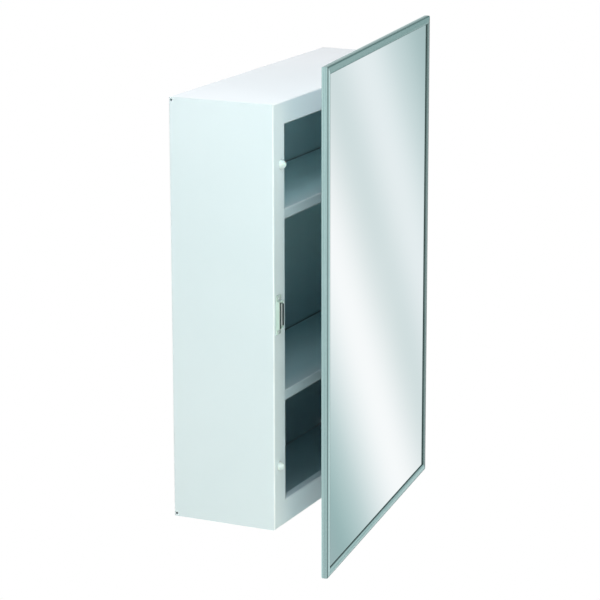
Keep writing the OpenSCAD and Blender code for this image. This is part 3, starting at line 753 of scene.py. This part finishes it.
streak_turn, streak_slope, streak_pitch, streak_start = 7.5, 7.7, 2.8, 14.205
half_turn = maths(tree, "MULTIPLY", maths(tree, "SUBTRACT", door_angle, bearing), 0.5)
tangent = maths(tree, "ABSOLUTE", maths(tree, "TANGENT", half_turn))
across = maths(tree, "MULTIPLY", maths(tree, "LOGARITHM", maths(tree, "MAXIMUM", tangent, 0.01),
                                       math.e), streak_turn)
level = maths(tree, "SQRT", maths(tree, "SUBTRACT", 1.0,
                                  maths(tree, "MULTIPLY", way["Z"], way["Z"])))
slope = maths(tree, "DIVIDE", way["Z"], maths(tree, "MAXIMUM", level, 0.05))
along = maths(tree, "SUBTRACT", maths(tree, "ADD", across, streak_start),
              maths(tree, "MULTIPLY", slope, streak_slope))
streaks = ramp(maths(tree, "FRACT", maths(tree, "DIVIDE", along, streak_pitch), spot=(200, 0)), [
    (0.0, (0.37, 0.49, 0.495)), (0.1, (0.48, 0.598, 0.604)), (0.2, (0.68, 0.765, 0.775)),
    (0.3, (0.832, 0.878, 0.893)), (0.45, (0.68, 0.756, 0.761)), (0.63, (1.0, 0.995, 1.0)),
    (0.78, (0.66, 0.75, 0.755)), (0.9, (0.363, 0.508, 0.507)), (1.0, (0.34, 0.45, 0.455))],
    (400, 0), "CARDINAL")

front_dark, screen_dark, ceiling_dark = 0.62, 0.9, 0.62
front_screen = ramp(bearing_share, [(0.07, 0), (0.095, 1), (0.24, 1), (0.33, 0)], (400, -300))
side_screen = ramp(bearing_share, [(0.49, 0), (0.51, 1), (0.56, 1), (0.58, 0)], (400, -1300))
below = ranged(tree, way["Z"], (0.0, -0.1), spot=(400, -1500))
ceiling = ramp(bearing_share, [(0.03, 0), (0.1, 1), (0.52, 1), (0.61, 0.3)], (400, -500))
above = ranged(tree, way["Z"], (0.03, 0.2), spot=(400, -700), interpolation_type="SMOOTHSTEP")
screens = maths(tree, "MAXIMUM", maths(tree, "MULTIPLY", front_screen, front_dark),
                maths(tree, "MULTIPLY", side_screen, below))
shade = maths(tree, "MAXIMUM", maths(tree, "MULTIPLY", screens, screen_dark),
              maths(tree, "MULTIPLY", maths(tree, "MULTIPLY", ceiling, above), ceiling_dark))

side_bright, rear_bright = 0.38, 0.5
side_glow = ramp(bearing_share, [(0.06, 1), (0.08, 0), (0.65, 0), (0.75, 1)], (400, -900))
higher = ranged(tree, way["Z"], (-0.33, -0.1), spot=(400, -1100))
rear_glow = ramp(bearing_share, [(0.62, 0), (0.67, 1), (0.9, 1), (0.95, 0)], (400, -1700))
glow = maths(tree, "MAXIMUM",
             maths(tree, "MULTIPLY", side_glow, maths(tree, "MULTIPLY", higher, side_bright)),
             maths(tree, "MULTIPLY", rear_glow, rear_bright))

reflected = add(tree, "ShaderNodeBackground", (700, 0), {
    "Color": streaks,
    "Strength": maths(tree, "ADD", maths(tree, "SUBTRACT", 1.0, shade), glow)})
backdrop = add(tree, "ShaderNodeBackground", (700, 200), {"Color": (1, 1, 1, 1), "Strength": 1.0})
rays = add(tree, "ShaderNodeLightPath", (400, 400)).outputs
glossy = add(tree, "ShaderNodeMixShader", (900, 0), {
    0: rays["Is Glossy Ray"], 2: reflected.outputs[0]})
in_sight = maths(tree, "MAXIMUM", rays["Is Camera Ray"], rays["Is Transmission Ray"],
                 spot=(900, 300))
shown = add(tree, "ShaderNodeMixShader", (1100, 0), {
    0: in_sight, 1: glossy.outputs[0], 2: backdrop.outputs[0]})
add(tree, "ShaderNodeOutputWorld", (1300, 0), {"Surface": shown.outputs[0]})


# Studio lamps
# Square soft boxes round the cabinet: the large ones behind, beside and low down light the white
# body, and the small ones near it light the face, the shelves and the inside.
def soft_lamp(name, place, aim, size, power, colour):
    """A square area lamp at a place, turned to a point, which mirrors and metal don't show."""
    light = bpy.data.lights.new(name, "AREA")
    light.shape = "SQUARE"
    light.size = size
    light.energy = power
    light.color = colour
    lamp = bpy.data.objects.new(name, light)
    lamp.location = place
    lamp.rotation_euler = (Vector(aim) - Vector(place)).to_track_quat("-Z", "Y").to_euler()
    lamp.visible_glossy = False
    bpy.context.scene.collection.objects.link(lamp)


middle, higher_aim = (0, 0, 0), (0, 0, 0.1)
soft_lamp("rear_lamp", (-0.68, 1.18, 2.9), middle, size=1.6, power=117, colour=(1.0, 0.83, 0.82))
soft_lamp("side_lamp", (-1.58, -2.73, 0.55), middle, size=1.6, power=32.5, colour=(1.0, 0.85, 0.72))
soft_lamp("low_lamp", (-2.6, -1.5, -1.09), middle, size=1.6, power=48, colour=(0.87, 1.0, 0.89))
soft_lamp("high_lamp", (-0.75, -0.55, 1.1), middle, size=0.5, power=6.2, colour=(0.88, 0.96, 1.0))
soft_lamp("near_lamp", (-1.02, -0.48, 0.65), middle, size=0.7, power=1.8, colour=(0.7, 0.9, 1.0))
soft_lamp("mid_lamp", (-1.5, -0.68, 0.25), higher_aim, size=0.6, power=1.4, colour=(0.7, 0.85, 1.0))
soft_lamp("up_lamp", (-1.5, -0.75, -0.9), higher_aim, size=0.7, power=2.6, colour=(0.9, 1.0, 0.9))
soft_lamp("right_lamp", (2.9, -0.2, -0.1), middle, size=1.6, power=56, colour=(1.0, 0.9, 0.86))

bpy.context.scene.view_settings.view_transform = "Standard"
